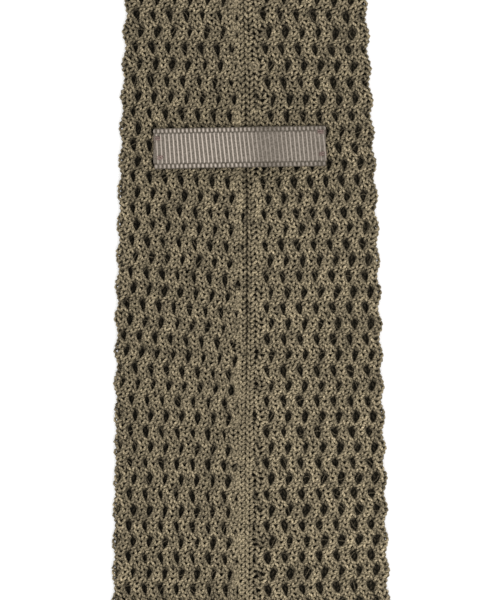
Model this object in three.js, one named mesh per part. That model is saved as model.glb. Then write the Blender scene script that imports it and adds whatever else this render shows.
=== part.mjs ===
// A knit tie, lying straight and flat with its front face down and its seamed back face up.
// Units are millimetres and +Z is up. +Y runs from the wide end to the narrow end.
// The origin is at the middle of the tie's length, on the surface that the tie lies on.
import * as THREE from 'three';
import { mergeVertices } from 'three/addons/utils/BufferGeometryUtils.js';

// Lengths of the tie's three stretches
const wideTaperLength = 680;
const neckLength = 330;
const tailTaperLength = 440;

// Widths of the flat tie
const wideEndWidth = 70;
const neckWidth = 32;
const tailEndWidth = 48;

// The knitted tube
const knitWall = 1.5;
const layerGap = 0.5;
const foldSteps = 6;

// The plain knitted seam along the centre of the back
const seamWidth = 7.5;
const seamRidgeRise = 0.25;
const seamFurrowDepth = 0.6;

// The ribbon loop across the back of the wide blade
const keeperFromWideEnd = 226.5;
const keeperSideOffset = -1.45;
const keeperLength = 40.5;
const ribbonWidth = 9.6;
const ribbonThickness = 1;
const ribPitch = 0.96;
const ribHeight = 0.16;
const ribSteps = 4;
const turnedEndLength = 6;
const turnedEndThickness = 0.4;
const keeperBow = 0.9;
const keeperClearance = 0.3;

// What follows from those sizes
const tieLength = wideTaperLength + neckLength + tailTaperLength;
const tubeThickness = 2 * knitWall + layerGap;
const wideEndY = -tieLength / 2;
const tailEndY = tieLength / 2;

// Width along each taper. along is a share of the taper's length, counted from the tie's end,
// and spread is the share of the way from the neck's width to that end's width.
const wideTaperRows = [
  { along: 0.0, spread: 1.0 },
  { along: 0.088, spread: 0.942 },
  { along: 0.176, spread: 0.879 },
  { along: 0.259, spread: 0.818 },
  { along: 0.321, spread: 0.758 },
  { along: 0.384, spread: 0.655 },
  { along: 0.485, spread: 0.495 },
  { along: 0.618, spread: 0.305 },
  { along: 0.735, spread: 0.155 },
  { along: 0.824, spread: 0.063 },
  { along: 0.912, spread: 0.011 },
  { along: 1.0, spread: 0.0 },
];
const tailTaperRows = [
  { along: 0.0, spread: 1.0 },
  { along: 0.25, spread: 0.86 },
  { along: 0.5, spread: 0.55 },
  { along: 0.75, spread: 0.2 },
  { along: 0.9, spread: 0.04 },
  { along: 1.0, spread: 0.0 },
];
const stationsPerRow = 2;

// The seam's section. across is a share of half the seam's width, rise a share of the ridges'
// rise, and dip a share of the furrow's depth.
const seamRows = [
  { across: 1.0, rise: 0.0, dip: 0.0 },
  { across: 0.72, rise: 0.9, dip: 0.0 },
  { across: 0.4, rise: 1.0, dip: 0.0 },
  { across: 0.14, rise: 0.3, dip: 0.35 },
  { across: 0.0, rise: 0.0, dip: 1.0 },
];

const knitMaterial = new THREE.MeshStandardMaterial({ color: 0x645b49, roughness: 0.95, metalness: 0 });
const ribbonMaterial = new THREE.MeshStandardMaterial({ color: 0x8b8276, roughness: 0.7, metalness: 0 });

// One station for each row and for each step between rows, with the width eased between them.
function taperStations(rows, taperLength, endWidth, endY, towardsNeck) {
  const curve = new THREE.CatmullRomCurve3(
    rows.map((row) => new THREE.Vector3(row.along * taperLength, row.spread * (endWidth - neckWidth), 0)),
    false,
    'centripetal',
  );
  return curve
    .getPoints((rows.length - 1) * stationsPerRow)
    .map((point) => ({ y: endY + towardsNeck * point.x, width: neckWidth + point.y }));
}

function tieStations() {
  const wideTaper = taperStations(wideTaperRows, wideTaperLength, wideEndWidth, wideEndY, 1);
  const tailTaper = taperStations(tailTaperRows, tailTaperLength, tailEndWidth, tailEndY, -1);
  return [...wideTaper, ...tailTaper.reverse()];
}

// The outline of the flattened tube at one station, counterclockwise seen from the narrow end's
// far side: the fold on the right, the back with its seam, then the fold on the left.
// outer is on the tube's outside and inner is on the wall's inside.
function tubeSection(width) {
  const foldCentre = width / 2 - tubeThickness / 2;
  const midHeight = tubeThickness / 2;
  const points = [];
  const addFoldPoint = (side, angle) => {
    const outward = side * Math.cos(angle);
    const up = Math.sin(angle);
    points.push({
      outer: [side * foldCentre + (outward * tubeThickness) / 2, midHeight + (up * tubeThickness) / 2],
      inner: [side * foldCentre + (outward * layerGap) / 2, midHeight + (up * layerGap) / 2],
    });
  };
  const addSeamPoint = (side, row) => {
    const x = (side * row.across * seamWidth) / 2;
    const relief = row.rise * seamRidgeRise - row.dip * seamFurrowDepth;
    points.push({
      outer: [x, tubeThickness + relief],
      inner: [x, midHeight + layerGap / 2],
    });
  };
  for (let step = 0; step <= foldSteps; step += 1) {
    addFoldPoint(1, (step / foldSteps - 0.5) * Math.PI);
  }
  seamRows.forEach((row) => addSeamPoint(1, row));
  seamRows.slice(0, -1).reverse().forEach((row) => addSeamPoint(-1, row));
  for (let step = foldSteps; step >= 0; step -= 1) {
    addFoldPoint(-1, (step / foldSteps - 0.5) * Math.PI);
  }
  return points;
}

// A closed skin over the tube's outside and inside, joined round the slit at both ends.
function knitBodyGeometry() {
  const stations = tieStations();
  const sections = stations.map((station) => tubeSection(station.width));
  const around = sections[0].length;
  const positions = [];
  const addRings = (side) =>
    sections.forEach((section, index) =>
      section.forEach((point) => positions.push(point[side][0], stations[index].y, point[side][1])),
    );
  addRings('outer');
  addRings('inner');
  const innerStart = sections.length * around;
  const faces = [];
  const addQuad = (a, b, c, d) => faces.push(a, b, c, a, c, d);
  for (let ring = 0; ring < sections.length - 1; ring += 1) {
    for (let step = 0; step < around; step += 1) {
      const here = ring * around + step;
      const beside = ring * around + ((step + 1) % around);
      addQuad(here, here + around, beside + around, beside);
      addQuad(innerStart + here, innerStart + beside, innerStart + beside + around, innerStart + here + around);
    }
  }
  const lastRing = (sections.length - 1) * around;
  for (let step = 0; step < around; step += 1) {
    const next = (step + 1) % around;
    addQuad(step, next, innerStart + next, innerStart + step);
    addQuad(lastRing + step, innerStart + lastRing + step, innerStart + lastRing + next, lastRing + next);
  }
  const geometry = new THREE.BufferGeometry();
  geometry.setAttribute('position', new THREE.Float32BufferAttribute(positions, 3));
  geometry.setIndex(faces);
  const merged = mergeVertices(geometry);
  merged.computeVertexNormals();
  return merged;
}

// How far the ribbon bows up from its ends at a place along it.
function ribbonBow(x) {
  const fromCentre = x / (keeperLength / 2);
  return keeperBow * Math.cos((fromCentre * Math.PI) / 2) ** 2;
}

// The side view of the ribbon: ribs along its top, a plain underside and thicker turned-under ends.
function ribbonOutline() {
  const halfLength = keeperLength / 2;
  const ribSpan = Math.round((keeperLength - 2 * ribbonThickness) / ribPitch);
  const topStart = (ribSpan * ribPitch) / 2;
  const underside = turnedEndThickness;
  const shape = new THREE.Shape();
  const endRadius = (ribbonThickness + turnedEndThickness) / 2;
  const plainLength = halfLength - turnedEndLength;
  const undersideSteps = 12;
  shape.moveTo(-halfLength + endRadius, 0);
  shape.lineTo(-plainLength - turnedEndThickness, ribbonBow(plainLength + turnedEndThickness));
  for (let step = 0; step <= undersideSteps; step += 1) {
    const x = (step / undersideSteps - 0.5) * 2 * plainLength;
    shape.lineTo(x, underside + ribbonBow(x));
  }
  shape.lineTo(plainLength + turnedEndThickness, ribbonBow(plainLength + turnedEndThickness));
  shape.lineTo(halfLength - endRadius, 0);
  shape.lineTo(halfLength, endRadius);
  for (let step = ribSpan * ribSteps; step >= 0; step -= 1) {
    const x = (step / ribSteps) * ribPitch - topStart;
    const rib = Math.sin(((step % ribSteps) / ribSteps) * Math.PI) * ribHeight;
    shape.lineTo(x, underside + ribbonThickness + ribbonBow(x) + rib);
  }
  shape.lineTo(-halfLength, endRadius);
  return shape;
}

function keeperLoop() {
  const geometry = new THREE.ExtrudeGeometry(ribbonOutline(), { depth: ribbonWidth, bevelEnabled: false });
  geometry.rotateX(Math.PI / 2);
  const mesh = new THREE.Mesh(geometry, ribbonMaterial);
  mesh.name = 'keeper_loop';
  mesh.position.set(
    keeperSideOffset,
    wideEndY + keeperFromWideEnd + ribbonWidth / 2,
    tubeThickness + keeperClearance,
  );
  return mesh;
}

function knitBody() {
  const mesh = new THREE.Mesh(knitBodyGeometry(), knitMaterial);
  mesh.name = 'knit_body';
  return mesh;
}

const tie = new THREE.Group();
tie.add(knitBody(), keeperLoop());

export default tie;
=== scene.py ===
import math

import bmesh
import bpy
import numpy as np
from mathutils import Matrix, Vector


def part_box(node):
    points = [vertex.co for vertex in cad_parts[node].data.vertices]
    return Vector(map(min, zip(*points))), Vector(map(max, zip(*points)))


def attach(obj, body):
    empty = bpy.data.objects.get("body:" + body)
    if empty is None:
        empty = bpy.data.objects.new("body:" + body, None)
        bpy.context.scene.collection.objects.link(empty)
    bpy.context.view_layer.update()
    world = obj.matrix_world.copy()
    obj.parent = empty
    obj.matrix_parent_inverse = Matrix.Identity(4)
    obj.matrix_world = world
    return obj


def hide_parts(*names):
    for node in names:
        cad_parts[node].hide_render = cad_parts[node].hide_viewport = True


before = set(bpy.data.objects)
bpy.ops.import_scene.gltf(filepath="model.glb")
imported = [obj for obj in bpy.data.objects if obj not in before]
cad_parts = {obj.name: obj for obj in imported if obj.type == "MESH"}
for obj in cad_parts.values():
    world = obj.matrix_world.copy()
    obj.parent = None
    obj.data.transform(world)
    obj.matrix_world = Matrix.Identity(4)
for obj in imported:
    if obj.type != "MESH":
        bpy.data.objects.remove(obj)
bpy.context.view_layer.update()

# A knit tie lying flat, front face down. Metres, in the frame of the CAD model: +Y runs from the
# wide end to the narrow end, and +Z is up out of the seamed back.

# The stretch of the blade that the picture shows
PICTURE_HEIGHT = 0.14118
PICTURE_TOP_FROM_WIDE_END = 0.2612
PICTURE_ROLL = math.radians(0.47)
PICTURE_CENTRE_X = 0.00042

# The open knit: a repeat is two wales wide and three courses tall, with one eyelet
REPEAT_WIDTH = 0.00385
ROW_PITCH = 0.00378
FIRST_ROW_DOWN = 0.0033
COURSES_PER_ROW = 3
WALES_PER_REPEAT = 2
COURSE_PHASE = 0.12
ROW_STAGGER = 0.28
EYELET_HALF_HEIGHT = 0.35
EYELET_ROUNDNESS = 2.6
EYELET_ABOVE_ROW = 0.04
WIDTH_SEAM_TO_EDGE = {"left": (0.86, 1.04), "right": (0.82, 1.10)}
EYELET_REACH = 2.1
EYELET_DIP = 0.00040
PLAIN_BESIDE_SEAM = 0.0014
EYELETS_OPEN_WITHIN = 0.0022
CLOSED_AT_FOLD = 0.0008
SCALLOP = 0.00042
EYELET_SLANT = 0.16
SHOWN_ROWS = (-2, 40)
MARGIN_ROWS = 2

# The knitted tube, as in the CAD model
TUBE_THICKNESS = 0.0035
WALL = 0.0015
MIDDLE_RADIUS = (TUBE_THICKNESS - WALL) / 2
OUTER_RADIUS = TUBE_THICKNESS / 2

# Yarn
YARN_WIDTH = 0.00068
YARN_THICKNESS = 0.00068
YARN_SIDES = 5
STEPS_PER_STITCH = 12
LOOP_RISE = 0.00088
LOOP_LEAN = 0.27
LOOP_DEPTH = 0.00050
LOOP_UNEVENNESS = 0.00007
# Painted shade at the loop ends, and how strongly the yarn round each eyelet is darkened
LOOP_END_SHADE = 0.20
EYELET_SHADING = 0.42
CLUSTER_HALF_HEIGHT = 0.36
ARCH_LIFT = 0.0008
WANDER = 0.00008
WANDER_LENGTHS = (0.0022, 0.0060)
SEAM_UNEVENNESS = 1.5
LEG_SHARPNESS = 2.0
LEG_SHADES = (0.69, 1.29)
PLY_LENGTH = 0.0011
YARN_DARK = (0.055, 0.050, 0.019, 1)
YARN_LIGHT = (0.574, 0.465, 0.306, 1)
# Colour of the painted shade on the yarn's flanks and in the gaps between the net's strokes
YARN_PAINTED_SHADE = (0.044, 0.052, 0.027, 1)

# Strands that show inside the eyelets, their yarn darkened with painted shade
STRAND_SHARE = 0.45
STRAND_SHADE = 0.32
STRAND_WIDTH = 0.00034
STRAND_REACH = 0.0012
STRAND_STRAY = 0.0002
STRAND_LIFT = -0.0007
STRAND_BOW = 0.0002

# The plain seam down the centre of the back
SEAM_WALE = 0.00188
SEAM_WALES = 1
FURROW_HALF_WIDTH = 0.00048
FURROW_DEPTH = 0.0012
# Painted shade darkening the furrow
FURROW_SHADING = 0.85
SEAM_CROWN = 0.00018

# The parts of the tie that the picture doesn't show, and its front layer, are a net with one
# cell for each repeat. Round the tube, distances run along its outside from the middle of the front.
NET_EYELET_HALF = (0.185, 0.33)
NET_RIM_DIP = 0.00012
NET_RIM_DEPTH = 0.0009
UNDERLAP_DEPTH = 0.0005
SEAM_HALF_WIDTH = 0.00375
END_BAND = 0.004
END_ROLL = 0.0012

# The net's seam in section: across is a share of its half width and relief a height
NET_SEAM_ROWS = [
    {"across": 1.00, "relief": 0.0},
    {"across": 0.72, "relief": 0.00015},
    {"across": 0.36, "relief": 0.00018},
    {"across": 0.12, "relief": -0.0002},
    {"across": 0.00, "relief": -0.0006},
]

# The inner face of the front layer, its yarn darkened with painted shade, more on the left than on the
# right
INNER_DEPTH = 0.0012
INNER_COLUMNS = 13
INNER_SHADES = (0.13, 0.24)
INNER_FROM_END = 0.0015

# The ribbon of the keeper, with its ends turned under and tacked down
KEEPER_TRIM = 0.0004
KEEPER_TURN = math.radians(0.55)
RIB_PITCH = 0.000982
RIB_HEIGHT = 0.00016
RIB_SHARPNESS = 6.5
RIBS_HALF_WIDTH = 0.00365
BEAD_FROM_MIDDLE = 0.00415
BEAD_HALF_WIDTH = 0.0005
RIBBON_HALF_WIDTH = 0.00477
RIBBON_THICKNESS = 0.00035
RIBBON_FOLD_RADIUS = 0.00035
RIBBON_BOW = 0.0009
RIBBON_ABOVE_TUBE = 0.0003
TURNED_END = 0.0055
STEPS_PER_RIB = 12
RIBBON_GROUND = (0.062, 0.051, 0.037, 1)
# Colour of the painted highlight on the ribs and beads
RIBBON_CREST_HIGHLIGHT = (0.590, 0.510, 0.435, 1)
RIBBON_VALLEY = 0.12

# The ribs from the left end of the keeper to the right: how far they lean and how strong their painted
# sheen is, where the bowed ribbon catches the light
RIB_ROWS = [
    {"along": 0.00, "degrees": 2.4, "painted_sheen": 0.60},
    {"along": 0.10, "degrees": 3.2, "painted_sheen": 0.95},
    {"along": 0.28, "degrees": 5.1, "painted_sheen": 1.00},
    {"along": 0.48, "degrees": 5.4, "painted_sheen": 0.90},
    {"along": 0.56, "degrees": 5.6, "painted_sheen": 0.70},
    {"along": 0.63, "degrees": 6.0, "painted_sheen": 0.34},
    {"along": 0.71, "degrees": 5.4, "painted_sheen": 0.34},
    {"along": 0.80, "degrees": 4.6, "painted_sheen": 0.64},
    {"along": 0.90, "degrees": 4.4, "painted_sheen": 0.60},
    {"along": 1.00, "degrees": 4.8, "painted_sheen": 0.40},
]
# Strength of the painted highlight on the edge beads
BEAD_HIGHLIGHT = 0.8

# Small stitches that hold the keeper's ends. x and y are places from the keeper's middle as
# shares of its half length and half width, reach is the stitch's length across the end.
TACKS = [
    {"x": -0.97, "y": 0.52, "reach": 0.0017, "turn": 4},
    {"x": -0.95, "y": -0.44, "reach": 0.0019, "turn": -8},
    {"x": 0.96, "y": 0.70, "reach": 0.0019, "turn": -6},
    {"x": 0.97, "y": -0.38, "reach": 0.0017, "turn": 10},
]
TACK_WIDTH = 0.0006
TACK_DIP = 0.0004
TACK_DARK = (0.090, 0.060, 0.050, 1)
TACK_LIGHT = (0.260, 0.190, 0.165, 1)

# Lines of wales in the shown stretch. down is a share of the picture's height, phase is the
# number of repeats that lie between the tie's axis and the wale that starts the count, and
# pitch is a share of the repeat's width.
WALE_ROWS = [
    {"down": 0.02, "left_phase": -0.60, "left_pitch": 1.01, "right_phase": -0.01, "right_pitch": 1.02},
    {"down": 0.16, "left_phase": -1.04, "left_pitch": 0.98, "right_phase": -0.36, "right_pitch": 1.00},
    {"down": 0.30, "left_phase": -1.26, "left_pitch": 0.96, "right_phase": -1.03, "right_pitch": 0.96},
    {"down": 0.45, "left_phase": -1.46, "left_pitch": 0.96, "right_phase": -1.08, "right_pitch": 1.01},
    {"down": 0.56, "left_phase": -2.04, "left_pitch": 0.95, "right_phase": -1.14, "right_pitch": 1.01},
    {"down": 0.67, "left_phase": -2.60, "left_pitch": 0.95, "right_phase": -1.03, "right_pitch": 1.03},
    {"down": 0.82, "left_phase": -2.67, "left_pitch": 0.96, "right_phase": -0.95, "right_pitch": 1.07},
    {"down": 0.98, "left_phase": -2.56, "left_pitch": 0.99, "right_phase": -1.03, "right_pitch": 1.05},
]

# How far each course sags below a straight line, as a share of the row pitch, at the two folded
# edges and on both sides of the seam
SAG_ROWS = [
    {"down": 0.00, "left_edge": -0.05, "left_seam": 0.12, "right_seam": -0.08, "right_edge": 0.31},
    {"down": 0.18, "left_edge": 0.04, "left_seam": 0.44, "right_seam": 0.44, "right_edge": 0.40},
    {"down": 0.30, "left_edge": -0.02, "left_seam": 0.58, "right_seam": 0.60, "right_edge": 0.34},
    {"down": 0.40, "left_edge": -0.05, "left_seam": 0.62, "right_seam": 0.48, "right_edge": 0.39},
    {"down": 0.50, "left_edge": -0.14, "left_seam": 0.81, "right_seam": 0.35, "right_edge": 0.38},
    {"down": 0.62, "left_edge": -0.14, "left_seam": 0.62, "right_seam": 0.25, "right_edge": 0.28},
    {"down": 0.67, "left_edge": -0.14, "left_seam": 0.37, "right_seam": 0.11, "right_edge": 0.19},
    {"down": 0.82, "left_edge": -0.20, "left_seam": 0.17, "right_seam": -0.05, "right_edge": -0.07},
    {"down": 0.98, "left_edge": -0.32, "left_seam": -0.06, "right_seam": -0.06, "right_edge": -0.37},
]

# The seam's line and how it looks along the shown stretch. aside is its place across the tie,
# furrow its depth, even how little the plain stitches beside it vary in tone, and left and
# right are half the width of the eyelets on either side, in repeats.
SEAM_ROWS = [
    {"down": 0.00, "aside": -0.00055, "furrow": 0.0003, "even": 0.2, "left": 0.175, "right": 0.190},
    {"down": 0.12, "aside": -0.00030, "furrow": 0.0004, "even": 0.2, "left": 0.175, "right": 0.190},
    {"down": 0.32, "aside": -0.00010, "furrow": 0.0011, "even": 0.2, "left": 0.175, "right": 0.190},
    {"down": 0.55, "aside": -0.00035, "furrow": 0.0011, "even": 0.2, "left": 0.170, "right": 0.190},
    {"down": 0.70, "aside": -0.00090, "furrow": 0.0002, "even": 0.6, "left": 0.165, "right": 0.195},
    {"down": 0.85, "aside": -0.00110, "furrow": 0.0000, "even": 0.8, "left": 0.165, "right": 0.205},
    {"down": 1.00, "aside": -0.00125, "furrow": 0.0000, "even": 0.8, "left": 0.165, "right": 0.210},
]

# How pale the yarn is on both sides of the seam and along it
TONE_ROWS = [
    {"down": 0.05, "left": 0.91, "seam": 1.02, "right": 0.92},
    {"down": 0.15, "left": 0.85, "seam": 0.89, "right": 0.91},
    {"down": 0.37, "left": 0.92, "seam": 0.99, "right": 0.98},
    {"down": 0.60, "left": 0.87, "seam": 1.02, "right": 0.99},
    {"down": 0.77, "left": 0.92, "seam": 1.08, "right": 1.04},
    {"down": 0.95, "left": 0.91, "seam": 1.15, "right": 1.09},
]

# Small hollows and slits where stitches beside the seam are drawn together
SEAM_HOLLOWS = [
    {"down": 0.028, "aside": -0.00208, "half_width": 0.00045, "half_height": 0.00060},
    {"down": 0.057, "aside": -0.00212, "half_width": 0.00038, "half_height": 0.00060},
    {"down": 0.050, "aside": 0.00072, "half_width": 0.00040, "half_height": 0.00050},
    {"down": 0.078, "aside": -0.00379, "half_width": 0.00033, "half_height": 0.00130},
    {"down": 0.162, "aside": 0.00247, "half_width": 0.00033, "half_height": 0.00130},
    {"down": 0.362, "aside": -0.00106, "half_width": 0.00040, "half_height": 0.00090},
    {"down": 0.412, "aside": -0.00135, "half_width": 0.00035, "half_height": 0.00070},
    {"down": 0.472, "aside": -0.00236, "half_width": 0.00055, "half_height": 0.00075},
    {"down": 0.587, "aside": 0.00198, "half_width": 0.00032, "half_height": 0.00080},
    {"down": 0.638, "aside": 0.00191, "half_width": 0.00034, "half_height": 0.00090},
    {"down": 0.653, "aside": -0.00399, "half_width": 0.00060, "half_height": 0.00060},
    {"down": 0.692, "aside": 0.00125, "half_width": 0.00040, "half_height": 0.00100},
    {"down": 0.742, "aside": 0.00191, "half_width": 0.00032, "half_height": 0.00095},
    {"down": 0.770, "aside": 0.00153, "half_width": 0.00028, "half_height": 0.00095},
    {"down": 0.778, "aside": -0.00344, "half_width": 0.00042, "half_height": 0.00080},
    {"down": 0.825, "aside": 0.00130, "half_width": 0.00045, "half_height": 0.00095},
    {"down": 0.830, "aside": -0.00330, "half_width": 0.00038, "half_height": 0.00055},
    {"down": 0.847, "aside": 0.00214, "half_width": 0.00045, "half_height": 0.00065},
    {"down": 0.878, "aside": 0.00090, "half_width": 0.00036, "half_height": 0.00095},
    {"down": 0.886, "aside": -0.00345, "half_width": 0.00036, "half_height": 0.00050},
    {"down": 0.902, "aside": 0.00175, "half_width": 0.00034, "half_height": 0.00070},
    {"down": 0.932, "aside": 0.00100, "half_width": 0.00042, "half_height": 0.00085},
    {"down": 0.935, "aside": -0.00325, "half_width": 0.00038, "half_height": 0.00055},
    {"down": 0.957, "aside": 0.00205, "half_width": 0.00034, "half_height": 0.00080},
    {"down": 0.984, "aside": -0.00315, "half_width": 0.00032, "half_height": 0.00090},
    {"down": 0.984, "aside": 0.00150, "half_width": 0.00034, "half_height": 0.00110},
]
# Painted shade darkening the yarn in the hollows
HOLLOW_SHADING = 0.8

# A round knot of yarn on the seam
SEAM_KNOT = {"down": 0.111, "aside": 0.00185, "radius": 0.00105}

# The plain stitches beside the seam: their yarn is fuller, and where they are even one tone is shared
PLAIN_FADE = 0.0044
PLAIN_FULLNESS = 0.14
SEAM_BAND = 0.0028
SEAM_BAND_SHADE = 0.74

knit_low, knit_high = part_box("knit_body")
keeper_low, keeper_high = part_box("keeper_loop")
keeper_half_length = (keeper_high.x - keeper_low.x - KEEPER_TRIM) / 2
keeper_centre_x = (keeper_low.x + keeper_high.x - KEEPER_TRIM) / 2
keeper_centre_y = (keeper_low.y + keeper_high.y) / 2
wide_end_y = knit_low.y
narrow_end_y = knit_high.y
picture_top_y = wide_end_y + PICTURE_TOP_FROM_WIDE_END
picture_centre_y = picture_top_y - PICTURE_HEIGHT / 2
random = np.random.default_rng(11)
eyelet_sizes = random.uniform(0.85, 1.12, (64, 64))
wander_turns = 2 * math.pi / random.uniform(*WANDER_LENGTHS, 24)
wander_directions = random.uniform(0, 2 * math.pi, 24)
wander_phases = random.uniform(0, 2 * math.pi, (2, 24))


def read_edge_profile():
    """The places along the tie of the CAD tube's sections, and half the tie's width at each."""
    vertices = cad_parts["knit_body"].data.vertices
    points = np.array([vertex.co for vertex in vertices])
    places = np.round(points[:, 1], 5)
    stations = np.unique(places)
    half_widths = [points[places == station, 0].max() for station in stations]
    return stations, np.array(half_widths)


edge_stations, edge_half_widths = read_edge_profile()


def half_width(y):
    return np.interp(y, edge_stations, edge_half_widths)


def from_table(rows, name, place, measured="down"):
    return np.interp(place, [row[measured] for row in rows], [row[name] for row in rows])


def row_down(row):
    """How far down the picture a row of eyelets lies, as a share of the picture's height."""
    return (FIRST_ROW_DOWN + (row - 1) * ROW_PITCH) / PICTURE_HEIGHT


def row_y(row):
    return picture_top_y - row_down(row) * PICTURE_HEIGHT


def sag_fade(row):
    """1 in the picture, easing to 0 at the ends of the stretch that is knitted stitch by stitch."""
    first, last = SHOWN_ROWS
    return np.clip(np.minimum(row - first, last - row) / MARGIN_ROWS, 0, 1)


def make_mesh_piece(name, points, faces, uvs, material, shades=None):
    """One object from points, quads and a UV per corner, with the attribute shade on its points."""
    mesh = bpy.data.meshes.new(name)
    sides = faces.shape[1]
    mesh.vertices.add(len(points))
    mesh.vertices.foreach_set("co", np.ascontiguousarray(points, np.float32).ravel())
    mesh.loops.add(faces.size)
    mesh.loops.foreach_set("vertex_index", np.ascontiguousarray(faces, np.int32).ravel())
    mesh.polygons.add(len(faces))
    mesh.polygons.foreach_set("loop_start", np.arange(0, faces.size, sides, dtype=np.int32))
    mesh.polygons.foreach_set("use_smooth", np.ones(len(faces), bool))
    layer = mesh.uv_layers.new(name="UVMap")
    layer.data.foreach_set("uv", np.ascontiguousarray(uvs, np.float32).ravel())
    shade = mesh.attributes.new("shade", "FLOAT", "POINT")
    shade.data.foreach_set("value", np.float32(np.ones(len(points)) if shades is None else shades))
    mesh.update(calc_edges=True)
    mesh.validate()
    mesh.materials.append(material)
    piece = bpy.data.objects.new(name, mesh)
    bpy.context.scene.collection.objects.link(piece)
    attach(piece, "root")
    return piece


def tube_rings(path, normals, width, thickness, sides):
    """Rings of points round a path. normals point away from the cloth's face."""
    along = np.gradient(path, axis=0)
    along /= np.linalg.norm(along, axis=1, keepdims=True)
    across = np.cross(along, normals)
    across /= np.linalg.norm(across, axis=1, keepdims=True)
    up = np.cross(across, along)
    angles = np.arange(sides) / sides * 2 * math.pi
    half_across = across * np.broadcast_to(width, len(path))[:, None] / 2
    ring_across = np.cos(angles)[None, :, None] * half_across[:, None, :]
    ring_up = np.sin(angles)[None, :, None] * up[:, None, :] * thickness / 2
    return path[:, None, :] + ring_across + ring_up


def tube_quads(rings, sides):
    """Quads between neighbouring rings, as indices into the rings' points."""
    ring = np.arange(rings - 1)[:, None]
    side = np.arange(sides)[None, :]
    beside = (side + 1) % sides
    here, there = ring * sides, (ring + 1) * sides
    return np.stack([here + side, here + beside, there + beside, there + side], -1).reshape(-1, 4)


def tube_uvs(lengths, sides):
    """U is the length along the yarn and V the turn round it, for every corner of tube_quads."""
    here, there = lengths[:-1], lengths[1:]
    u = np.stack([here, here, there, there], -1)[:, None, :]
    turn = np.arange(sides) / sides
    v = np.stack([turn, turn + 1 / sides, turn + 1 / sides, turn], -1)[None, :, :]
    shape = (len(here), sides, 4)
    return np.stack([np.broadcast_to(u, shape), np.broadcast_to(v, shape)], -1).reshape(-1, 2)


class YarnBundle:
    """Collects many yarn tubes into one piece."""

    def __init__(self):
        self.points = []
        self.faces = []
        self.uvs = []
        self.shades = []
        self.count = 0

    def add(self, path, normals, shade, width=YARN_WIDTH, thickness=YARN_THICKNESS, sides=YARN_SIDES):
        rings = tube_rings(path, normals, width, thickness, sides)
        steps = np.linalg.norm(np.diff(path, axis=0), axis=1)
        lengths = np.concatenate([[0], np.cumsum(steps)]) + random.uniform(0, PLY_LENGTH)
        self.points.append(rings.reshape(-1, 3))
        self.shades.append(np.repeat(shade, sides))
        self.faces.append(tube_quads(len(path), sides) + self.count)
        self.uvs.append(tube_uvs(lengths, sides))
        self.count += len(path) * sides

    def build(self, name, material, slot):
        points, faces, uvs, shades = map(np.concatenate, (self.points, self.faces, self.uvs, self.shades))
        return make_mesh_piece(name, points, faces, uvs, material, shades)


def scallop(row):
    """The folded edge bows out at every second row, where an eyelet lies on the fold."""
    return SCALLOP * np.cos(math.pi * row)


def on_back(side, lateral, y, lift, row):
    """Points on the back layer and round its folded edge, and the outward normals there.

    lateral is the distance from the tie's axis along the middle of the layer, and lift the height
    above that middle.
    """
    flat = half_width(y) + scallop(row) - TUBE_THICKNESS / 2
    angle = np.clip((lateral - flat) / MIDDLE_RADIUS, 0, math.pi)
    past = np.maximum(lateral - flat - math.pi * MIDDLE_RADIUS, 0)
    x = np.minimum(lateral, flat) + (MIDDLE_RADIUS + lift) * np.sin(angle) - past
    z = np.maximum(OUTER_RADIUS + (MIDDLE_RADIUS + lift) * np.cos(angle), YARN_THICKNESS / 2)
    points = np.stack([side * x, y, z], -1)
    normals = np.stack([side * np.sin(angle), np.zeros_like(angle), np.cos(angle)], -1)
    return points, normals


def wander(x, y):
    """A smooth random shift of the stitches over the cloth, across and along the tie."""
    place = x[:, None] * np.cos(wander_directions) + y[:, None] * np.sin(wander_directions)
    waves = np.sin(place * wander_turns + wander_phases[:, None, :])
    return WANDER * waves.sum(-1) / math.sqrt(12)


def open_hollows(x, y):
    """Moves yarn away from the seam's hollows, and says how much it dips there, from 0 to 1."""
    dip = np.zeros_like(x)
    for hollow in SEAM_HOLLOWS:
        off_x = x - hollow["aside"]
        off_y = y - (picture_top_y - hollow["down"] * PICTURE_HEIGHT)
        ovals = np.hypot(off_x / hollow["half_width"], off_y / hollow["half_height"])
        push = np.maximum(1 - ovals / EYELET_REACH, 0) / np.maximum(ovals, 0.15)
        x = x + off_x * push
        y = y + off_y * push
        dip = np.maximum(dip, np.exp(-(ovals**2) / 1.3))
    return x, y, dip


def cast_knot(bundle):
    """The round knot on the seam: a ring of yarn and a smaller one inside it."""
    turn = np.linspace(0, 2 * math.pi, 41)
    centre_y = picture_top_y - SEAM_KNOT["down"] * PICTURE_HEIGHT
    for share, lift in ((1.0, 0.00055), (0.42, 0.00045)):
        radius = SEAM_KNOT["radius"] * share * (1 + 0.08 * np.sin(3 * turn))
        lateral = SEAM_KNOT["aside"] + radius * np.cos(turn)
        y = centre_y + radius * np.sin(turn)
        height = lift + 0.00012 * np.sin(5 * turn)
        points, normals = on_back(1, lateral, y, height, np.zeros_like(y))
        bundle.add(points, normals, 0.75 + 0.25 * np.sin(4 * turn))


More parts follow.
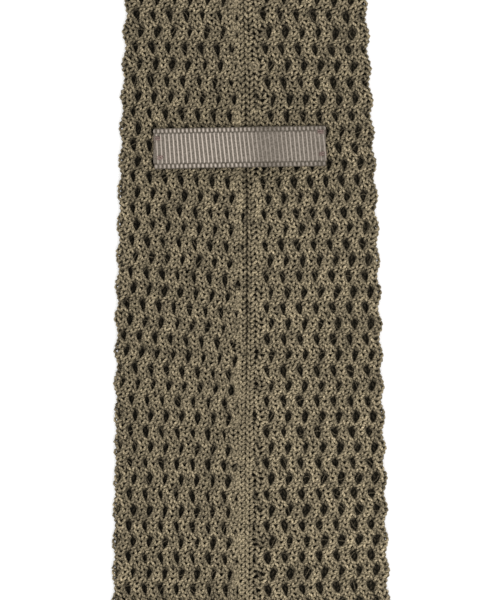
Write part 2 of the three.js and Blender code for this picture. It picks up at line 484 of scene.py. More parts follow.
def cast_strands(side_name, side, bundle):
    """Loose strands low across many of the eyelets, as the loops on the inside show through."""
    for row in range(SHOWN_ROWS[0] + 1, SHOWN_ROWS[1]):
        down = row_down(row)
        y_line = row_y(row)
        start = side * from_table(SEAM_ROWS, "aside", down)
        phase = from_table(WALE_ROWS, side_name + "_phase", down)
        pitch = from_table(WALE_ROWS, side_name + "_pitch", down) * REPEAT_WIDTH
        stagger = 0.0 if row % 2 else side * ROW_STAGGER
        for count in range(-4, 12):
            centre = (count + stagger - phase) * pitch
            if centre - start < PLAIN_BESIDE_SEAM or centre > half_width(y_line) - TUBE_THICKNESS / 2:
                continue
            if random.random() > STRAND_SHARE:
                continue
            share = np.linspace(-1, 1, 9)
            turn = random.uniform(-1.1, 1.1)
            bend = random.uniform(-0.35, 0.35) * ROW_PITCH * (1 - share**2)
            reach = STRAND_REACH * share
            lateral = centre + reach * math.cos(turn) + random.normal(0, STRAND_STRAY)
            sag = shown_sag(side_name, down, lateral / half_width(y_line), row)
            y = y_line - sag + reach * math.sin(turn) + bend
            lift = STRAND_LIFT + STRAND_BOW * share**2
            points, normals = on_back(side, lateral, y, lift, np.full(len(y), row))
            bundle.add(points, normals, np.full(len(y), STRAND_SHADE), STRAND_WIDTH, STRAND_WIDTH)


def open_eyelets(side_name, side, repeats, row, down, share, open_knit):
    """How far the eyelets push a yarn across the knit, in repeats, and along it, in rows.

    Round each eyelet the knit is pushed outwards, so that an oval is left open, and its rim dips.
    share is how far out from the axis it lies, as a share of the way to the edge.
    The last value is 1 midway between two eyelets of a row, and 0 beside an eyelet.
    """
    nearest_row = np.round(row)
    off_row = row - nearest_row
    odd = np.mod(nearest_row, 2)
    stagger = np.where(odd == 1, 0.0, side * ROW_STAGGER)
    slant = np.where(odd == 1, 1, -1) * side * EYELET_SLANT
    from_eyelet = repeats - stagger - slant * off_row
    nearest = np.round(from_eyelet)
    off = from_eyelet - nearest
    size = eyelet_sizes[nearest_row.astype(int) % 64, nearest.astype(int) % 64]
    widening = np.interp(share, (0, 1), WIDTH_SEAM_TO_EDGE[side_name])
    half_across = from_table(SEAM_ROWS, side_name, down) * size * widening
    off_middle = off_row + EYELET_ABOVE_ROW
    across_share = np.abs(off) / half_across
    along_share = np.abs(off_middle) / (EYELET_HALF_HEIGHT * size)
    ovals = (across_share**EYELET_ROUNDNESS + along_share**EYELET_ROUNDNESS) ** (1 / EYELET_ROUNDNESS)
    within_cell = (1 - 4 * off**2) * (1 - 4 * off_row**2)
    push = np.maximum(1 - ovals / EYELET_REACH, 0) / np.maximum(ovals, 0.08) * within_cell * open_knit
    across = (off + slant * off_row) * push
    along = off_middle * push
    dip = np.exp(-(ovals**2) / 1.3) * open_knit
    cluster = np.exp(-((off_row / CLUSTER_HALF_HEIGHT) ** 4)) * open_knit
    between = (1 - np.cos(2 * math.pi * off)) / 2 * cluster
    return across, along, dip, between


def shown_sag(side_name, down, share, row):
    """How far a course lies below a straight line, at a share of the way from the axis to the edge."""
    seam_sag = from_table(SAG_ROWS, side_name + "_seam", down)
    edge_sag = from_table(SAG_ROWS, side_name + "_edge", down)
    return (seam_sag + (edge_sag - seam_sag) * np.clip(share, 0, 1)) * sag_fade(row) * ROW_PITCH


def wale_edges(side_name, side, down, y):
    """Distances from the axis of the edges of each wale in a course, from the seam outwards."""
    start = side * from_table(SEAM_ROWS, "aside", down)
    phase = from_table(WALE_ROWS, side_name + "_phase", down)
    pitch = from_table(WALE_ROWS, side_name + "_pitch", down) * REPEAT_WIDTH
    wale = pitch / WALES_PER_REPEAT
    band = start + SEAM_WALE * np.arange(SEAM_WALES + 1)
    outermost = half_width(y) - TUBE_THICKNESS / 2 + math.pi * MIDDLE_RADIUS + wale / 2
    counts = np.arange(-12, 40)
    edges = ((counts + 0.5) / WALES_PER_REPEAT - phase) * pitch
    edges = edges[(edges > band[-1] + 0.45 * wale) & (edges < outermost)]
    edges = edges + random.normal(0, 0.03 * wale, len(edges))
    band[1:] += random.normal(0, 0.06 * SEAM_WALE, SEAM_WALES)
    return np.concatenate([band, edges]), phase, pitch


def course_path(side_name, side, course):
    """The path of one course's yarn on one side of the seam, with the cloth's normals along it."""
    row = (course + COURSE_PHASE) / COURSES_PER_ROW
    down = row_down(row)
    edges, phase, pitch = wale_edges(side_name, side, down, row_y(row))
    wales = len(edges) - 1
    place = np.linspace(0, wales, wales * STEPS_PER_STITCH + 1)
    middle = np.interp(place, np.arange(wales + 1), edges)
    width = np.diff(edges)[np.minimum(place.astype(int), wales - 1)]
    turn = 2 * math.pi * (place - 0.5)
    halves = np.arange(2 * wales + 1) / 2
    rise_noise = np.interp(place, halves, random.normal(0, LOOP_UNEVENNESS, len(halves)))
    rise = LOOP_RISE * np.cos(turn) + rise_noise
    lean_noise = np.interp(place, halves, random.normal(0, LOOP_UNEVENNESS, len(halves)))
    lateral = middle + LOOP_LEAN * width * np.sin(2 * turn) + lean_noise
    start = edges[0]
    here_row = row - rise / ROW_PITCH
    past_plain = np.clip((lateral - start - PLAIN_BESIDE_SEAM) / EYELETS_OPEN_WITHIN, 0, 1)
    zigzag = side * ROW_STAGGER * (1 + np.cos(math.pi * here_row)) / 2
    lateral = lateral + zigzag * past_plain * pitch
    to_fold = half_width(row_y(row)) - OUTER_RADIUS - lateral
    open_knit = past_plain * np.clip(to_fold / CLOSED_AT_FOLD + 1.2, 0, 1)
    repeats = phase + lateral / pitch
    share = lateral / half_width(row_y(row))
    across, along, dip, between = open_eyelets(side_name, side, repeats, here_row, down, share, open_knit)
    lateral = lateral + pitch * across
    sag = shown_sag(side_name, down, lateral / half_width(row_y(row)), row)
    y = row_y(row) - sag + rise - along * ROW_PITCH
    from_seam = lateral - start
    stray_across, stray_along = wander(side * lateral, y)
    unevenness = 1 + (SEAM_UNEVENNESS - 1) * np.exp(-((from_seam / SEAM_WALE) ** 2))
    lateral = lateral + stray_across * unevenness * np.clip(from_seam / 0.001, 0, 1)
    x, y, hollow_dip = open_hollows(side * lateral, y + stray_along * unevenness)
    lateral = side * x
    furrow = from_table(SEAM_ROWS, "furrow", down) * np.exp(-((from_seam / FURROW_HALF_WIDTH) ** 2))
    crown = SEAM_CROWN * np.exp(-(((from_seam - SEAM_WALE) / SEAM_WALE) ** 2))
    lift_noise = np.interp(place, halves, random.normal(0, 0.7 * LOOP_UNEVENNESS, len(halves)))
    arch = between * ((1 + np.cos(turn)) / 2) ** 2
    lift = -LOOP_DEPTH * np.cos(2 * turn) + ARCH_LIFT * arch - furrow + crown + lift_noise
    lift = lift - EYELET_DIP * np.maximum(dip, hollow_dip)
    points, normals = on_back(side, lateral, y, lift, here_row)
    leg = np.floor(place * 2).astype(int)
    leg_shade = random.uniform(*LEG_SHADES, 2 * wales + 1)[leg]
    # Painted shade: the loop ends, where the yarn runs deep under its neighbours, are darkened and raised
    # arches kept pale; each leg's random tone is the yarn's own
    middle_of_leg = ((1 - np.cos(2 * turn)) / 2) ** LEG_SHARPNESS
    shade = leg_shade * (LOOP_END_SHADE + (1 - LOOP_END_SHADE) * np.maximum(middle_of_leg, arch))
    in_band = np.exp(-((from_seam / SEAM_BAND) ** 4))
    shade = shade + (SEAM_BAND_SHADE - shade) * from_table(SEAM_ROWS, "even", down) * in_band
    tone = from_table(TONE_ROWS, side_name, down)
    tone = tone + (from_table(TONE_ROWS, "seam", down) - tone) * in_band
    # Painted shade where the yarn dips round the eyelets and hollows and down the furrow
    shade = shade * (1 - EYELET_SHADING * dip) * (1 - HOLLOW_SHADING * hollow_dip)
    shade = shade * (1 - FURROW_SHADING * furrow / FURROW_DEPTH) * tone
    plain = np.exp(-((from_seam / PLAIN_FADE) ** 4))
    width = YARN_WIDTH * (1 + PLAIN_FULLNESS * plain)
    return points, normals, shade, width


def knit_back_panels(material):
    """The shown stretch of the back layer, knitted stitch by stitch in four pieces."""
    first = (SHOWN_ROWS[0] - 1) * COURSES_PER_ROW
    last = SHOWN_ROWS[1] * COURSES_PER_ROW + 1
    middle = (first + last) // 2
    pieces = []
    for side_name, side in (("left", -1), ("right", 1)):
        for part, courses in (("upper", range(first, middle)), ("lower", range(middle, last))):
            bundle = YarnBundle()
            for course in courses:
                bundle.add(*course_path(side_name, side, course))
            if part == "upper":
                cast_strands(side_name, side, bundle)
            if part == "upper" and side_name == "right":
                cast_knot(bundle)
            pieces.append(bundle.build(f"knit_back_{part}_{side_name}", material, "knit"))
    return pieces


def round_tube(distance, y, depth):
    """Points of the flattened tube, at a depth below its outer surface."""
    flat = half_width(y) - OUTER_RADIUS
    side = np.sign(distance)
    outward = np.abs(distance) - flat
    angle = np.clip(outward / OUTER_RADIUS, 0, math.pi)
    past = np.maximum(outward - math.pi * OUTER_RADIUS, 0)
    bow = scallop(1 - (y - row_y(1)) / ROW_PITCH) * np.sin(angle)
    x = np.minimum(np.abs(distance), flat) + (OUTER_RADIUS - depth) * np.sin(angle) - past + bow
    z = OUTER_RADIUS - (OUTER_RADIUS - depth) * np.cos(angle)
    return np.stack([side * x, y, z], -1)


def row_places(row, reach):
    """Where the cells of a row of net lie: the middles of the eyelets and the last cells' outer edges."""
    stagger = 0.0 if row % 2 else ROW_STAGGER
    limit = min(reach(row_y(row - 0.5)), reach(row_y(row + 0.5))) / REPEAT_WIDTH
    highest = math.floor(limit - 0.5 - stagger)
    lowest = -math.floor(limit - 0.5 + stagger)
    return np.arange(lowest, highest + 1) + stagger


def eyelet_cells(row, centres):
    """Quads round each eyelet of a row and down its rim, as places (distance, y, depth)."""
    angles = np.arange(8) / 8 * 2 * math.pi
    corner_across = np.sign(np.round(np.cos(angles), 3)) / 2
    corner_along = np.sign(np.round(np.sin(angles), 3)) / 2
    hole_along = np.sin(angles) * NET_EYELET_HALF[1]
    hole_across = np.cos(angles) * NET_EYELET_HALF[0] + (1 if row % 2 else -1) * EYELET_SLANT * hole_along
    rings = []
    for across, along, depth in (
        (corner_across, corner_along, 0.0),
        (hole_across, hole_along, NET_RIM_DIP),
        (hole_across, hole_along, NET_RIM_DEPTH),
    ):
        distance = (centres[:, None] + across) * REPEAT_WIDTH
        y = np.broadcast_to(row_y(row + along), distance.shape)
        rings.append(np.stack([distance, y, np.full(distance.shape, depth)], -1))
    quads = []
    for outer, inner in zip(rings[:-1], rings[1:]):
        for index in range(8):
            beside = (index + 1) % 8
            corners = [outer[:, index], outer[:, beside], inner[:, beside], inner[:, index]]
            quads.append(np.stack(corners, 1))
    return np.concatenate(quads)


def across_line(y, depth, places, reach, seam):
    """A line of places round the tube, and with seam also over the seam's relief at both ends."""
    line = [(place * REPEAT_WIDTH, depth) for place in places]
    for side in (1, -1):
        end = reach(y)
        rows = NET_SEAM_ROWS if seam else NET_SEAM_ROWS[:1]
        beyond = []
        for row in rows:
            distance = end + (1 - row["across"]) * SEAM_HALF_WIDTH
            beyond.append((side * distance, depth - row["relief"]))
        line = line + beyond if side > 0 else beyond[::-1] + line
    return np.array([(distance, y, line_depth) for distance, line_depth in line])


def band_quads(lines):
    """Quads between neighbouring lines that have the same number of places."""
    quads = []
    for upper, lower in zip(lines[:-1], lines[1:]):
        quads.append(np.stack([upper[:-1], upper[1:], lower[1:], lower[:-1]], 1))
    return np.concatenate(quads)


def strip_quads(row, edges, reach, seam):
    """Plain quads from the last cells of a row to the seam or to the end of the reach."""
    lines = [across_line(row_y(row + along), 0.0, edges, reach, seam) for along in (-0.5, 0.5)]
    beyond = len(NET_SEAM_ROWS) if seam else 1
    left = [line[: beyond + 1] for line in lines]
    right = [line[-beyond - 1 :] for line in lines]
    return np.concatenate([band_quads(left), band_quads(right)])


def end_band_quads(row, end_y, reach):
    """A plain band from the last row of eyelets to an end of the tie, with its edge rolled in."""
    side = 1 if end_y > row_y(row) else -1
    start_y = row_y(row - 0.5 * side)
    centres = row_places(row, reach)
    places = np.arange(2 * len(centres) + 1) / 2 + centres[0] - 0.5
    roll = [(math.sin(turn), 1 - math.cos(turn)) for turn in np.linspace(0, math.pi / 2, 5)]
    stops = [(y, 0.0) for y in np.linspace(start_y, end_y - side * END_ROLL, 5)[:-1]]
    stops += [(end_y - side * END_ROLL * (1 - out), END_ROLL * inward) for out, inward in roll]
    lines = [across_line(y, depth, places, reach, True) for y, depth in stops]
    return band_quads(lines if side < 0 else lines[::-1])


def underlap(places):
    """Extra depth of the net on the back where it runs in under the ends of the stitched stretch."""
    flat = half_width(places[:, 1]) - OUTER_RADIUS
    on_the_back = np.clip((np.abs(places[:, 0]) - flat) / (math.pi * OUTER_RADIUS), 0, 1)
    above = (places[:, 1] - row_y(SHOWN_ROWS[0] - 0.5)) / ROW_PITCH
    below = (row_y(SHOWN_ROWS[1] - 0.5) - places[:, 1]) / ROW_PITCH
    beyond = np.maximum(above, below)
    return UNDERLAP_DEPTH * on_the_back * np.clip(1.5 - beyond / 2, 0, 1)


def build_net(name, first_row, last_row, reach, seam, ends, material):
    quads = []
    for row in range(first_row, last_row):
        centres = row_places(row, reach)
        quads.append(eyelet_cells(row, centres))
        quads.append(strip_quads(row, np.array([centres[0] - 0.5, centres[-1] + 0.5]), reach, seam))
    for row, end_y in ends:
        quads.append(end_band_quads(row, end_y, reach))
    places = np.concatenate(quads).reshape(-1, 3)
    places, index = np.unique(np.round(places, 7), axis=0, return_inverse=True)
    faces = index.reshape(-1, 4)
    wale = places[:, 0] / REPEAT_WIDTH * WALES_PER_REPEAT
    course = (picture_top_y - places[:, 1]) / ROW_PITCH * COURSES_PER_ROW
    uvs = np.stack([wale, course], -1)[faces.ravel()]
    depth = places[:, 2] + (underlap(places) if seam else 0)
    points = round_tube(places[:, 0], places[:, 1], depth)
    return make_mesh_piece(name, points, faces, uvs, material)


def front_reach(y):
    """The front layer under the stitches ends where they come round the fold."""
    return half_width(y) - OUTER_RADIUS + 0.0012


def whole_reach(y):
    """The net goes round both folds to the seam."""
    flat = half_width(y) - OUTER_RADIUS
    return 2 * flat + math.pi * OUTER_RADIUS - SEAM_HALF_WIDTH


def build_inner_face(material):
    """The inside of the front layer, seen dimly through the eyelets of both layers; it is real, but its
    yarn is darkened with painted shade.
    """
    rows = int((narrow_end_y - wide_end_y) / ROW_PITCH)
    ys = np.linspace(wide_end_y + INNER_FROM_END, narrow_end_y - INNER_FROM_END, rows)
    shares = np.linspace(-1, 1, INNER_COLUMNS)
    y = np.repeat(ys, INNER_COLUMNS)
    distance = np.tile(shares, len(ys)) * (half_width(y) - OUTER_RADIUS)
    points = round_tube(distance, y, np.full_like(y, INNER_DEPTH))
    row = np.arange(len(ys) - 1)[:, None] * INNER_COLUMNS
    column = np.arange(INNER_COLUMNS - 1)[None, :]
    here = row + column
    above = here + INNER_COLUMNS
    faces = np.stack([here, here + 1, above + 1, above], -1).reshape(-1, 4)
    wale = distance / REPEAT_WIDTH * WALES_PER_REPEAT
    course = (picture_top_y - y) / ROW_PITCH * COURSES_PER_ROW
    uvs = np.stack([wale, course], -1)[faces.ravel()]
    # Painted shade, darker on the left than on the right
    shades = np.interp(points[:, 0], (-knit_high.x, knit_high.x), INNER_SHADES)
    return make_mesh_piece("knit_inner_face", points, faces, uvs, material, shades)


def build_nets(material):
    first, last = SHOWN_ROWS
    end_row = int(math.floor((row_y(0) - wide_end_y - END_BAND) / ROW_PITCH))
    tail_row = -int(math.floor((narrow_end_y - END_BAND - row_y(0)) / ROW_PITCH))
    neck_row = (tail_row + first) // 2
    wide_end = [(end_row - 1, wide_end_y)]
    narrow_end = [(tail_row, narrow_end_y)]
    return [
        build_net("knit_front_panel", first, last, front_reach, False, [], material),
        build_net("knit_wide_end", last, end_row, whole_reach, True, wide_end, material),
        build_net("knit_neck", neck_row, first, whole_reach, True, [], material),
        build_net("knit_tail", tail_row, neck_row, whole_reach, True, narrow_end, material),
    ]


def on_keeper(x, y, z):
    """Points given from the keeper's middle, turned as the keeper lies on the tie."""
    along = keeper_centre_x + x * math.cos(KEEPER_TURN) - y * math.sin(KEEPER_TURN)
    aside = keeper_centre_y + x * math.sin(KEEPER_TURN) + y * math.cos(KEEPER_TURN)
    return np.stack([along, aside, z], -1)


def ribbon_path():
    """The ribbon's middle line in x and z, from one turned-under end to the other."""
    half = keeper_half_length - RIBBON_FOLD_RADIUS
    low = TUBE_THICKNESS + RIBBON_ABOVE_TUBE
    turn = np.linspace(0, math.pi, 12)[1:-1]
    under = np.linspace(half - TURNED_END, half, 16)
    over = np.linspace(-half, half, 200)
    bow = RIBBON_BOW * (1 - (over / half) ** 4) * (0.7 + 0.3 * np.cos(over / half * 2.2))
    x = np.concatenate([
        -under,
        -half - RIBBON_FOLD_RADIUS * np.sin(turn),
        over,
        half + RIBBON_FOLD_RADIUS * np.sin(turn),
        under[::-1],
    ])
    z = np.concatenate([
        np.full(len(under), low),
        low + RIBBON_FOLD_RADIUS * (1 - np.cos(turn)),
        low + 2 * RIBBON_FOLD_RADIUS + bow,
        low + RIBBON_FOLD_RADIUS * (1 + np.cos(turn)),
        np.full(len(under), low),
    ])
    return x, z


def rib_relief(along, aside, lean):
    """How high the ribs and the beads of the edges stand, from 0 to 1."""
    turns = (along + np.tan(lean) * aside) / RIB_PITCH
    crest = ((1 + np.cos(2 * math.pi * turns)) / 2) ** RIB_SHARPNESS
    ribs = crest * np.clip((RIBS_HALF_WIDTH - np.abs(aside)) / 0.0002, 0, 1)
    bead_across = np.clip(1 - ((np.abs(aside) - BEAD_FROM_MIDDLE) / BEAD_HALF_WIDTH) ** 2, 0, 1)
    beads = ((1 - np.cos(2 * math.pi * turns)) / 2) ** 1.5 * np.sqrt(bead_across)
    return ribs, beads


def build_ribbon(material):
    """One closed strip: its outer face has ribs and beaded edges, and its inner face is plain."""
    x, z = ribbon_path()
    lengths = np.concatenate([[0], np.cumsum(np.hypot(np.diff(x), np.diff(z)))])
    stations = int(lengths[-1] / RIB_PITCH * STEPS_PER_RIB)
    along = np.linspace(0, lengths[-1], stations)
    x, z = np.interp(along, lengths, x), np.interp(along, lengths, z)
    slope = np.gradient(np.stack([x, z], -1), axis=0)
    slope /= np.linalg.norm(slope, axis=1, keepdims=True)
    across = np.concatenate([
        np.linspace(-RIBBON_HALF_WIDTH, -RIBS_HALF_WIDTH, 10),
        np.linspace(-RIBS_HALF_WIDTH, RIBS_HALF_WIDTH, 20)[1:-1],
        np.linspace(RIBS_HALF_WIDTH, RIBBON_HALF_WIDTH, 10),
    ])
    share = (x - x.min()) / (x.max() - x.min())
    lean = np.radians(from_table(RIB_ROWS, "degrees", share, "along"))
    painted_sheen = from_table(RIB_ROWS, "painted_sheen", share, "along")
    ribs, beads = rib_relief(along[:, None], across[None, :], lean[:, None])
    relief = np.maximum(ribs, beads)
    rounding = np.clip((RIBBON_HALF_WIDTH - np.abs(across)) / 0.0005, 0, 1)
    outer = RIBBON_THICKNESS / 2 * (0.3 + 0.7 * np.sqrt(rounding)) + RIB_HEIGHT * relief * np.sqrt(rounding)
    inner = np.broadcast_to(-RIBBON_THICKNESS / 2 * (0.3 + 0.7 * np.sqrt(rounding)), outer.shape)
    height = np.concatenate([outer, inner[:, ::-1]], 1)
    aside = np.concatenate([across, across[::-1]])
    valley = RIBBON_VALLEY * np.clip((RIBS_HALF_WIDTH - np.abs(across)) / 0.0002, 0, 1)
    # Painted highlight: rib and bead crests are mixed towards the paler colour, scaled by the painted sheen
    # along the keeper; the inner face gets none
    crest = np.maximum(ribs, BEAD_HIGHLIGHT * beads) * painted_sheen[:, None] + valley
    crest = np.concatenate([crest, 0 * crest], 1)
    points = on_keeper(
        x[:, None] - slope[:, 1:] * height,
        np.broadcast_to(aside, height.shape),
        z[:, None] + slope[:, :1] * height,
    )
    sides = len(aside)
    quads = tube_quads(stations, sides)
    u = np.repeat(along, sides)
    v = np.tile(aside, stations)
    uvs = np.stack([u, v], -1)[quads.ravel()]
    caps = np.arange(sides)
    points = points.reshape(-1, 3)
    piece = make_mesh_piece("keeper_ribbon", points, quads, uvs, material, crest.ravel())
    close_ends(piece, [caps, (stations - 1) * sides + caps[::-1]])
    return piece


def close_ends(piece, rings):
    """Fills both ends of a strip. The second half of each ring runs back along the first half."""
    mesh = piece.data
    build = bmesh.new()
    build.from_mesh(mesh)
    build.verts.ensure_lookup_table()
    for ring in rings:
        half = len(ring) // 2
        for index in range(half - 1):
            corners = [ring[index], ring[index + 1], ring[-index - 2], ring[-index - 1]]
            build.faces.new([build.verts[int(corner)] for corner in corners])
    bmesh.ops.recalc_face_normals(build, faces=build.faces)
    for face in build.faces:
        face.smooth = True
    build.to_mesh(mesh)
    build.free()


def build_tacks(material):
    """Short stitches over the ends of the keeper."""
    bundle = YarnBundle()
    ribbon_low = RIBBON_ABOVE_TUBE + 2 * RIBBON_FOLD_RADIUS
    drop = ribbon_low + RIBBON_THICKNESS / 2 + RIB_HEIGHT + TACK_WIDTH / 3
    top = TUBE_THICKNESS + ribbon_low + RIBBON_THICKNESS / 2 + RIB_HEIGHT
    for tack in TACKS:
        share = np.linspace(-1, 1, 17)
        outward = 1 if tack["x"] > 0 else -1
        for strand in (-0.4, 0.4):
            x = tack["x"] * keeper_half_length + outward * share * tack["reach"] / 2
            y = tack["y"] * RIBBON_HALF_WIDTH + strand * TACK_WIDTH
            y = y + share * tack["reach"] / 2 * math.tan(math.radians(tack["turn"]))
            z = top - drop * np.clip(share - 0.1, 0, 1) ** 1.5 - TACK_DIP * np.clip(-share - 0.6, 0, 1)
            path = on_keeper(x, y, z)
            normals = np.broadcast_to([0.0, 0.0, 1.0], path.shape)
            bundle.add(path, normals, np.ones(len(path)), TACK_WIDTH, TACK_WIDTH * 0.7)
    return bundle.build("tacking_threads", material, "ribbon")


def new_material(name):
    material = bpy.data.materials.new(name)
    material.use_nodes = True
    nodes = material.node_tree.nodes
    nodes.clear()
    shader = nodes.new("ShaderNodeBsdfPrincipled")
    output = nodes.new("ShaderNodeOutputMaterial")
    material.node_tree.links.new(shader.outputs["BSDF"], output.inputs["Surface"])
    return material, nodes, material.node_tree.links, shader


def math_node(nodes, links, operation, first, second=None, third=None):
    node = nodes.new("ShaderNodeMath")
    node.operation = operation
    for index, value in enumerate((first, second, third)):
        if value is None:
            continue
        if isinstance(value, (int, float)):
            node.inputs[index].default_value = value
        else:
            links.new(value, node.inputs[index])
    return node.outputs[0]


def mix_colour(nodes, links, factor, first, second, blend="MIX"):
    node = nodes.new("ShaderNodeMix")
    node.data_type = "RGBA"
    node.blend_type = blend
    for socket_name, value in (("Factor", factor), ("A", first), ("B", second)):
        socket = node.inputs[socket_name]
        if isinstance(value, (int, float, tuple)):
            socket.default_value = value
        else:
            links.new(value, socket)
    return node.outputs["Result"]


def stretched_noise(nodes, links, vector, scale, detail, spread):
    """Noise with its range spread about a half, so that it reaches 0 and 1."""
    noise = nodes.new("ShaderNodeTexNoise")
    noise.inputs["Scale"].default_value = scale
    noise.inputs["Detail"].default_value = detail
    links.new(vector, noise.inputs["Vector"])
    spread_out = math_node(nodes, links, "MULTIPLY_ADD", noise.outputs["Fac"], spread, (1 - spread) / 2)
    return math_node(nodes, links, "MINIMUM", math_node(nodes, links, "MAXIMUM", spread_out, 0.0), 1.0)


def read_uv(nodes, links):
    uv = nodes.new("ShaderNodeUVMap")
    uv.uv_map = "UVMap"
    split = nodes.new("ShaderNodeSeparateXYZ")
    links.new(uv.outputs["UV"], split.inputs["Vector"])
    return split.outputs["X"], split.outputs["Y"]


def read_shade(nodes):
    shade = nodes.new("ShaderNodeAttribute")
    shade.attribute_name = "shade"
    return shade.outputs["Fac"]


def add_bump(nodes, links, shader, height, strength, distance):
    bump = nodes.new("ShaderNodeBump")
    bump.inputs["Strength"].default_value = strength
    bump.inputs["Distance"].default_value = distance
    links.new(height, bump.inputs["Height"])
    links.new(bump.outputs["Normal"], shader.inputs["Normal"])


def yarn_material(name, dark, light):
    """Plied matte yarn: a twist of light and dark plies with fibre flecks, and painted shade down its
    flanks, darkest underneath.
    """
    material, nodes, links, shader = new_material(name)
    along, turn = read_uv(nodes, links)
    twist = math_node(nodes, links, "MULTIPLY_ADD", along, 1 / PLY_LENGTH, turn)
    wave = math_node(nodes, links, "SINE", math_node(nodes, links, "MULTIPLY", twist, 4 * math.pi))
    ply = math_node(nodes, links, "MULTIPLY_ADD", wave, 0.5, 0.5)
    height = math_node(nodes, links, "SINE", math_node(nodes, links, "MULTIPLY", turn, 2 * math.pi))
    facing_up = math_node(nodes, links, "MULTIPLY_ADD", height, 0.5, 0.5)
    place = nodes.new("ShaderNodeTexCoord").outputs["Object"]
    fibres = stretched_noise(nodes, links, place, 3000, 2, 3.0)
    flecks = math_node(nodes, links, "MULTIPLY", fibres, 0.55)
    factor = math_node(nodes, links, "MULTIPLY_ADD", ply, 0.45, flecks)
    colour = mix_colour(nodes, links, factor, dark, light)
    # Painted shade: the sides and underside of the yarn darken, as if lit from above
    painted_flank_shade = mix_colour(nodes, links, facing_up, YARN_PAINTED_SHADE, (1, 1, 1, 1))
    patches = stretched_noise(nodes, links, place, 420, 3, 2.4)
    patched = mix_colour(nodes, links, patches, (0.72, 0.72, 0.72, 1), (1.24, 1.24, 1.24, 1))
    colour = mix_colour(nodes, links, 1.0, colour, patched, "MULTIPLY")
    colour = mix_colour(nodes, links, 1.0, colour, painted_flank_shade, "MULTIPLY")
    # The shade attribute holds the yarn's own tone together with its painted shade
    colour = mix_colour(nodes, links, 1.0, colour, read_shade(nodes), "MULTIPLY")
    links.new(colour, shader.inputs["Base Color"])
    shader.inputs["Roughness"].default_value = 0.85
    shader.inputs["Specular IOR Level"].default_value = 0.2
    add_bump(nodes, links, shader, factor, 0.8, 0.00012)
    return material


def ribbon_material():
    """Silky cord over a dull ground: the ribs and edge beads are mixed towards a paler colour as a painted
    highlight.
    """
    material, nodes, links, shader = new_material("ribbon_cord")
    place = nodes.new("ShaderNodeTexCoord").outputs["Object"]
    fibres = stretched_noise(nodes, links, place, 2600, 2, 2.0)
    dulled = math_node(nodes, links, "SUBTRACT", read_shade(nodes), 0.10)
    crest = math_node(nodes, links, "MULTIPLY_ADD", fibres, 0.25, dulled)
    crest = math_node(nodes, links, "MINIMUM", math_node(nodes, links, "MAXIMUM", crest, 0.0), 1.0)
    links.new(mix_colour(nodes, links, crest, RIBBON_GROUND, RIBBON_CREST_HIGHLIGHT), shader.inputs["Base Color"])
    shader.inputs["Roughness"].default_value = 0.65
    shader.inputs["Specular IOR Level"].default_value = 0.15
    add_bump(nodes, links, shader, fibres, 0.35, 0.00006)
    return material


def net_material():
    """The same yarn on the net: two slanted strokes to a wale and one pair to a course, with painted shade
    in the gaps between the strokes.
    """
    material, nodes, links, shader = new_material("knit_net")
    wales, courses = read_uv(nodes, links)
    wale = math_node(nodes, links, "FRACT", wales)
    from_middle = math_node(nodes, links, "ABSOLUTE", math_node(nodes, links, "SUBTRACT", wale, 0.5))
    leg = math_node(nodes, links, "MULTIPLY", from_middle, 2.0)
    course = math_node(nodes, links, "FRACT", math_node(nodes, links, "MULTIPLY_ADD", leg, 0.7, courses))
    across = math_node(nodes, links, "SINE", math_node(nodes, links, "MULTIPLY", leg, math.pi))
    along = math_node(nodes, links, "SINE", math_node(nodes, links, "MULTIPLY", course, math.pi))
    stroke = math_node(nodes, links, "POWER", math_node(nodes, links, "MULTIPLY", across, along), 0.8)
    place = nodes.new("ShaderNodeTexCoord").outputs["Object"]
    fibres = stretched_noise(nodes, links, place, 2600, 3, 2.2)
    colour = mix_colour(nodes, links, fibres, YARN_DARK, YARN_LIGHT)
    patches = stretched_noise(nodes, links, place, 420, 3, 2.4)
    patched = mix_colour(nodes, links, patches, (0.72, 0.72, 0.72, 1), (1.24, 1.24, 1.24, 1))
    colour = mix_colour(nodes, links, 1.0, colour, patched, "MULTIPLY")
    # Painted shade in the gaps between the strokes
    painted_gap_shade = mix_colour(nodes, links, stroke, YARN_PAINTED_SHADE, (1, 1, 1, 1))
    colour = mix_colour(nodes, links, 1.0, colour, painted_gap_shade, "MULTIPLY")
    colour = mix_colour(nodes, links, 1.0, colour, read_shade(nodes), "MULTIPLY")
    links.new(colour, shader.inputs["Base Color"])
    shader.inputs["Roughness"].default_value = 0.9
    shader.inputs["Specular IOR Level"].default_value = 0.2
    add_bump(nodes, links, shader, stroke, 0.9, 0.0005)
    return material


def declare_knit(piece, reach):
    """Works out how wide a piece of the knit would be laid out flat, from half its width round the tube;
    the widths are not used.
    """
    ys = [vertex.co.y for vertex in piece.data.vertices]
    widths = 2 * reach(np.linspace(min(ys), max(ys), 60))


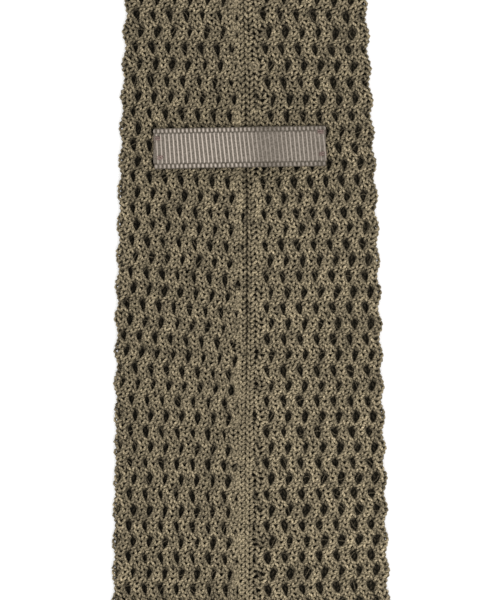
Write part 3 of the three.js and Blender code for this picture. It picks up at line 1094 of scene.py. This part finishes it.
def build_stage():
    """A plain pale floor, soft light, and the camera straight above the shown stretch."""
    bpy.ops.mesh.primitive_plane_add(size=12)
    floor = bpy.context.object
    floor.name = "floor"
    material, _, _, shader = new_material("pale_floor")
    shader.inputs["Base Color"].default_value = (0.9, 0.9, 0.9, 1)
    shader.inputs["Roughness"].default_value = 0.9
    shader.inputs["Emission Color"].default_value = (1, 1, 1, 1)
    shader.inputs["Emission Strength"].default_value = 0.15
    floor.data.materials.append(material)

    world = bpy.data.worlds.new("studio")
    world.use_nodes = True
    world.node_tree.nodes["Background"].inputs["Color"].default_value = (1, 1, 1, 1)
    world.node_tree.nodes["Background"].inputs["Strength"].default_value = 1.0
    bpy.context.scene.world = world

    light_data = bpy.data.lights.new("softbox", "AREA")
    light_data.shape = "SQUARE"
    light_data.size = 0.9
    light_data.energy = 10
    light = bpy.data.objects.new("softbox", light_data)
    light.location = (0.12, picture_centre_y - 0.20, 1.6)
    aim = light.location.copy()
    aim.y -= picture_centre_y
    light.rotation_euler = aim.to_track_quat("Z", "Y").to_euler()
    bpy.context.scene.collection.objects.link(light)

    camera_data = bpy.data.cameras.new("camera")
    camera_data.sensor_fit = "VERTICAL"
    camera_data.sensor_height = 24
    camera_height = 1.0
    camera_data.lens = camera_data.sensor_height * (camera_height - TUBE_THICKNESS) / PICTURE_HEIGHT
    camera_data.clip_start = 0.01
    camera = bpy.data.objects.new("camera", camera_data)
    camera.location = (PICTURE_CENTRE_X, picture_centre_y, camera_height)
    camera.rotation_euler = (0, 0, -PICTURE_ROLL)
    bpy.context.scene.collection.objects.link(camera)
    bpy.context.scene.camera = camera
    bpy.context.scene.view_settings.view_transform = "Standard"


yarn = yarn_material("knit_yarn", YARN_DARK, YARN_LIGHT)
back_panels = knit_back_panels(yarn)
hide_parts("knit_body")
net_yarn = net_material()
front_panel, *whole_nets = build_nets(net_yarn)
inner_face = build_inner_face(net_yarn)
ribbon = build_ribbon(ribbon_material())
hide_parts("keeper_loop")
tacks = build_tacks(yarn_material("tacking_thread", TACK_DARK, TACK_LIGHT))
declare_knit(front_panel, front_reach)
for net in whole_nets:
    declare_knit(net, lambda y: whole_reach(y) + SEAM_HALF_WIDTH)
build_stage()
